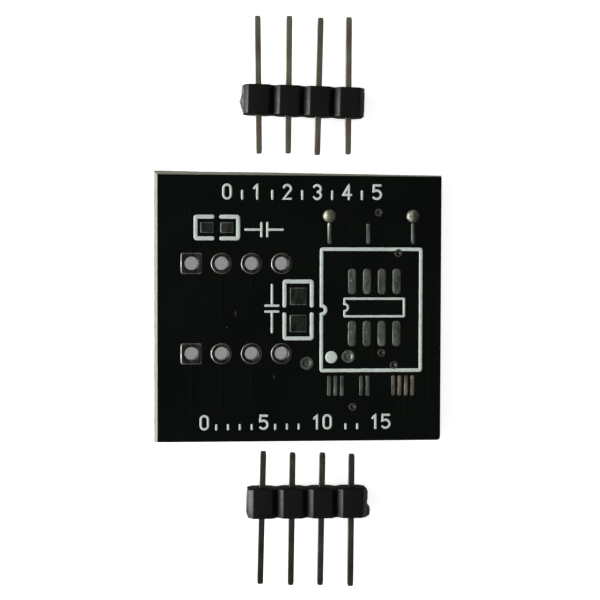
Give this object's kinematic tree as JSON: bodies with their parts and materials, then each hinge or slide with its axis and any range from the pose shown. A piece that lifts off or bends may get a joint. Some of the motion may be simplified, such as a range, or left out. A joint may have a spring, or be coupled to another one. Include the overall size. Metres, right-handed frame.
{
  "type": "ic programming adapter",
  "caption": "Bare black adapter board with header holes, footprints for a narrow and a wide chip and two capacitors, and a pair of loose pin strips.",
  "frame": {"origin": "middle of the board's underside", "axes": "+X right and +Y up the board as its face is read, +Z out of the face"},
  "size_m": [0.0244, 0.0485, 0.0025],
  "materials": {
    "laminate": "snapped glass epoxy, pale cream",
    "solder_mask": "black solder mask, satin",
    "copper": "etched copper under the mask",
    "solder": "dull levelled solder",
    "print": "white print",
    "insulator": "moulded black plastic, satin",
    "pin": "dull bronze-grey plating"
  },
  "bodies": {
    "root": {"laminate": "laminate", "mask_bottom": "solder_mask", "mask_top": "solder_mask", "tracks_bottom": "copper", "tracks_top": "copper", "hole_plating_1": "solder", "hole_plating_2": "solder", "hole_plating_3": "solder", "hole_plating_4": "solder", "hole_plating_5": "solder", "hole_plating_6": "solder", "hole_plating_7": "solder", "hole_plating_8": "solder", "anchor_via_1": "solder", "anchor_via_2": "solder", "medium_via_1": "solder", "medium_via_2": "solder", "small_via_1": "solder", "small_via_2": "solder", "small_via_3": "solder", "small_via_4": "solder", "small_via_5": "solder", "narrow_lands_lower": "solder", "narrow_lands_upper": "solder", "wide_lands_left": "solder", "wide_lands_middle": "solder", "wide_lands_right": "solder", "anchor_land_left": "solder", "anchor_land_middle": "solder", "anchor_land_right": "solder", "small_capacitor_lands": "solder", "large_capacitor_lands": "solder", "wide_chip_print": "print", "narrow_chip_print": "print", "pin_one_dot": "print", "small_capacitor_print": "print", "large_capacitor_print": "print", "upper_strip_body": "insulator", "upper_strip_pin_1": "pin", "upper_strip_pin_2": "pin", "upper_strip_pin_3": "pin", "upper_strip_pin_4": "pin", "lower_strip_body": "insulator", "lower_strip_pin_1": "pin", "lower_strip_pin_2": "pin", "lower_strip_pin_3": "pin", "lower_strip_pin_4": "pin"}
  },
  "joints": []
}
